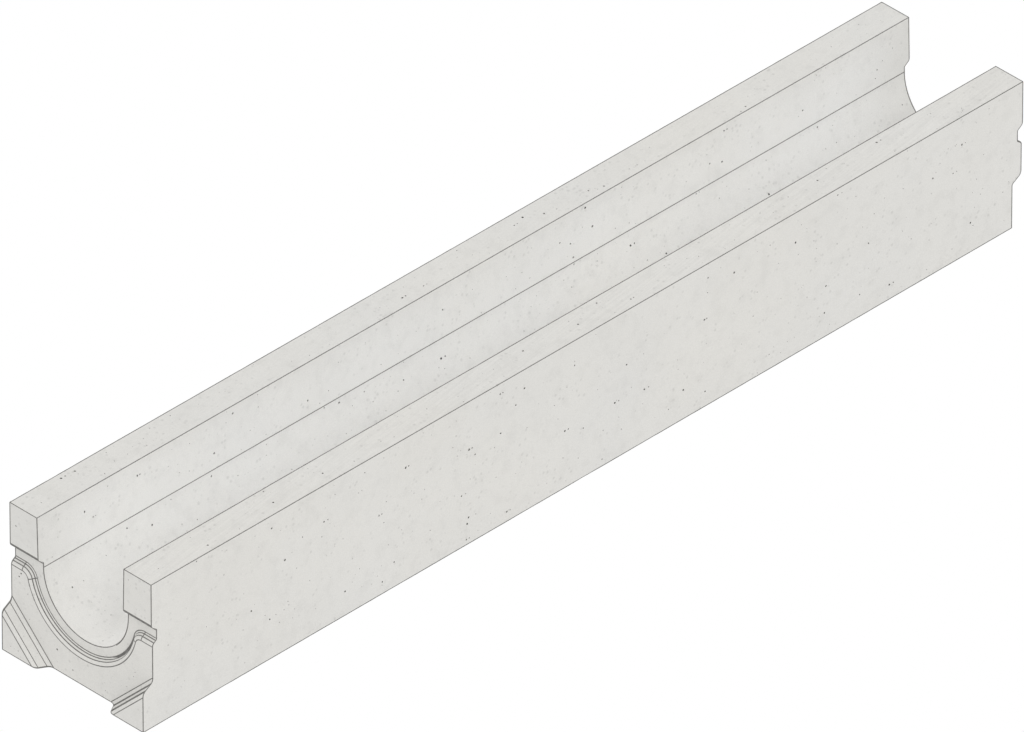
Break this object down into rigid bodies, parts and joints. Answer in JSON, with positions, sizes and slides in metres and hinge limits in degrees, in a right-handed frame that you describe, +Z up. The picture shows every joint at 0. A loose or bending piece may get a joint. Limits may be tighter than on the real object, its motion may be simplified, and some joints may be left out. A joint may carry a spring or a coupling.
{
  "type": "concrete drainage channel",
  "caption": "Precast concrete linear drainage channel with a semicircular bed, keyed ends with a seal rebate, and a steel wire mesh cast in.",
  "frame": {"origin": "middle of the element's footprint, on the plane of its underside; halfway between the tips of the tongues at -Y and the end faces of the wall blocks at +Y", "axes": "+X across the channel, +Y along the channel from the tongue end to the recess end, +Z up out of the open top"},
  "size_m": [0.1624, 1.01, 0.141],
  "materials": {
    "concrete": "fair-faced precast concrete, pale warm grey, with sparse small air pores",
    "mesh_steel": "drawn wire with a thin mill and rust film",
    "spacer_plastic": "moulded grey plastic"
  },
  "bodies": {
    "root": {"concrete_body": "concrete", "cross_wire_1": "mesh_steel", "cross_wire_2": "mesh_steel", "cross_wire_3": "mesh_steel", "cross_wire_4": "mesh_steel", "cross_wire_5": "mesh_steel", "cross_wire_6": "mesh_steel", "cross_wire_7": "mesh_steel", "long_wire_1": "mesh_steel", "long_wire_2": "mesh_steel", "long_wire_3": "mesh_steel", "long_wire_4": "mesh_steel", "long_wire_5": "mesh_steel", "long_wire_6": "mesh_steel", "spacer_1": "spacer_plastic", "spacer_2": "spacer_plastic", "spacer_3": "spacer_plastic", "spacer_4": "spacer_plastic", "spacer_5": "spacer_plastic", "spacer_6": "spacer_plastic", "spacer_7": "spacer_plastic", "spacer_8": "spacer_plastic"}
  },
  "joints": []
}
